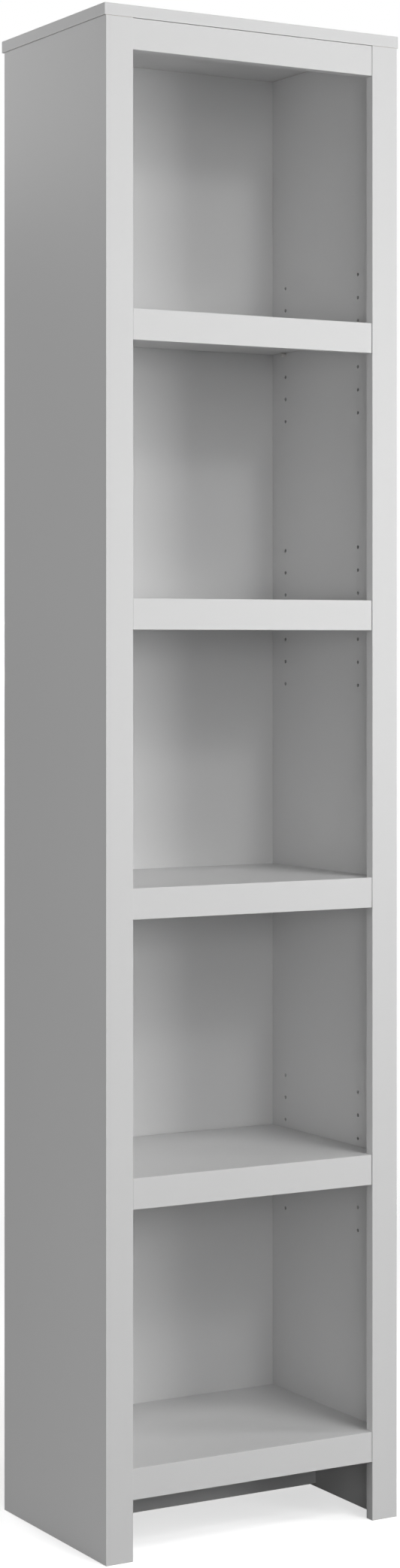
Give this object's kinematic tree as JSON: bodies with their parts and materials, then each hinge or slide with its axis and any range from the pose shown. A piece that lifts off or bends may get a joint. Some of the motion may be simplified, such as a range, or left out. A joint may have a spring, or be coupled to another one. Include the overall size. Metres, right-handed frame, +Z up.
{
  "type": "bookcase",
  "caption": "Tall narrow open bookcase with a face frame, a recessed toe board, fixed middle and bottom shelves and height-adjustable shelves on pins.",
  "frame": {"origin": "on the floor, in the middle of the width and of the overall depth", "axes": "+Z up, +X to the viewer's right when facing the open front, the front faces -Y"},
  "size_m": [0.456, 0.302, 2.03],
  "materials": {
    "grey_paint": "satin light grey paint on board",
    "hardboard": "raw brown hardboard, painted light grey on the inside",
    "beech": "plain fluted beech dowel",
    "nickel": "nickel-plated steel",
    "zinc": "zinc-plated steel",
    "die_cast": "die-cast zinc alloy"
  },
  "bodies": {
    "case": {"top_panel": "grey_paint", "side_panel_left": "grey_paint", "side_panel_right": "grey_paint", "stile_left": "grey_paint", "stile_right": "grey_paint", "top_rail": "grey_paint", "bottom_rail": "grey_paint", "bottom_shelf": "grey_paint", "fixed_shelf": "grey_paint", "fixed_shelf_rail": "grey_paint", "toe_board": "grey_paint", "back_panel": "hardboard", "top_dowels": "beech", "stile_dowels": "beech", "frame_rail_dowels": "beech", "fixed_shelf_dowels": "beech", "toe_board_dowels": "beech", "case_nose_dowels": "beech", "cam_bolts": "zinc", "cam_locks": "die_cast", "back_nails": "zinc"},
    "upper_shelf": {"upper_shelf": "grey_paint", "upper_shelf_rail": "grey_paint", "upper_nose_dowels": "beech"},
    "second_shelf": {"second_shelf": "grey_paint", "second_shelf_rail": "grey_paint", "second_nose_dowels": "beech"},
    "lower_shelf": {"lower_shelf": "grey_paint", "lower_shelf_rail": "grey_paint", "lower_nose_dowels": "beech"},
    "upper_pins_left": {"upper_pins_left": "nickel"},
    "upper_pins_right": {"upper_pins_right": "nickel"},
    "second_pins_left": {"second_pins_left": "nickel"},
    "second_pins_right": {"second_pins_right": "nickel"},
    "lower_pins_left": {"lower_pins_left": "nickel"},
    "lower_pins_right": {"lower_pins_right": "nickel"}
  },
  "joints": [
    {"name": "upper_shelf_height", "type": "slide", "parent": "case", "child": "upper_shelf", "axis": [0, 0, 1], "range_m": [-0.096, 0.096]},
    {"name": "second_shelf_height", "type": "slide", "parent": "case", "child": "second_shelf", "axis": [0, 0, 1], "range_m": [-0.096, 0.096]},
    {"name": "lower_shelf_height", "type": "slide", "parent": "case", "child": "lower_shelf", "axis": [0, 0, 1], "range_m": [-0.096, 0.096]},
    {"name": "upper_pins_left_pull", "type": "slide", "parent": "upper_shelf", "child": "upper_pins_left", "axis": [1, 0, 0], "range_m": [0, 0.01]},
    {"name": "upper_pins_right_pull", "type": "slide", "parent": "upper_shelf", "child": "upper_pins_right", "axis": [-1, 0, 0], "range_m": [0, 0.01]},
    {"name": "second_pins_left_pull", "type": "slide", "parent": "second_shelf", "child": "second_pins_left", "axis": [1, 0, 0], "range_m": [0, 0.01]},
    {"name": "second_pins_right_pull", "type": "slide", "parent": "second_shelf", "child": "second_pins_right", "axis": [-1, 0, 0], "range_m": [0, 0.01]},
    {"name": "lower_pins_left_pull", "type": "slide", "parent": "lower_shelf", "child": "lower_pins_left", "axis": [1, 0, 0], "range_m": [0, 0.01]},
    {"name": "lower_pins_right_pull", "type": "slide", "parent": "lower_shelf", "child": "lower_pins_right", "axis": [-1, 0, 0], "range_m": [0, 0.01]}
  ]
}
